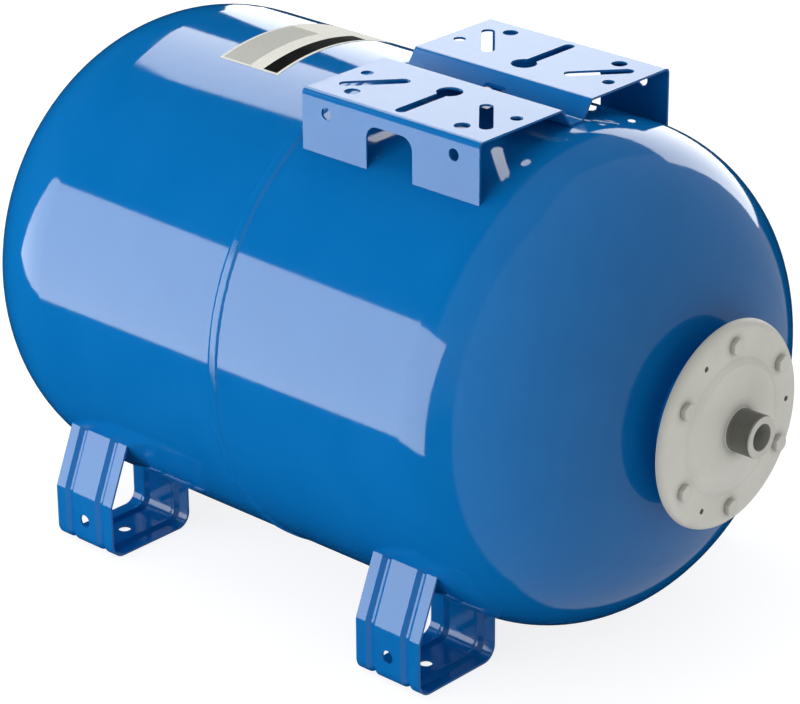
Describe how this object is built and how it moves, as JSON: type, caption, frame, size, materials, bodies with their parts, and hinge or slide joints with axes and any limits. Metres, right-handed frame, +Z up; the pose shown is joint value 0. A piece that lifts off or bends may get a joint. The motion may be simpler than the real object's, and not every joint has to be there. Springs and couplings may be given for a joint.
{
  "type": "well pressure tank",
  "caption": "Horizontal steel pressure tank with an inner rubber bladder, ribbed sheet feet, a bolted water flange with threaded nipple and a folded pump platform on top.",
  "frame": {"origin": "on the floor, at the centre of the four foot bolt holes, under the tank's mid length", "axes": "+X along the tank axis towards the water flange, +Y across the tank, +Z up"},
  "size_m": [0.8143, 0.4526, 0.478],
  "materials": {
    "tank_paint": "glossy blue powder coat over welded steel",
    "sheet_paint": "glossy blue powder coat over folded sheet",
    "flange_zinc": "satin light grey coating on pressed steel",
    "bolt_zinc": "satin zinc plate",
    "nipple_steel": "machined steel",
    "valve_brass": "machined brass",
    "cap_plastic": "moulded black plastic",
    "bladder_rubber": "matt black butyl rubber",
    "label_foil": "printed film, satin"
  },
  "bodies": {
    "root": {"shell_rear": "tank_paint", "shell_front": "tank_paint", "girth_weld": "tank_paint", "neck_ring": "tank_paint", "neck_weld": "tank_paint", "bladder": "bladder_rubber", "flange_plate": "flange_zinc", "water_nipple": "nipple_steel", "nipple_weld": "nipple_steel", "flange_bolts": "bolt_zinc", "valve_boss": "tank_paint", "boss_weld": "tank_paint", "air_valve": "valve_brass", "valve_core": "valve_brass", "valve_cap": "cap_plastic", "pump_platform": "sheet_paint", "foot_front_near": "sheet_paint", "foot_front_far": "sheet_paint", "foot_rear_near": "sheet_paint", "foot_rear_far": "sheet_paint", "label": "label_foil"}
  },
  "joints": []
}
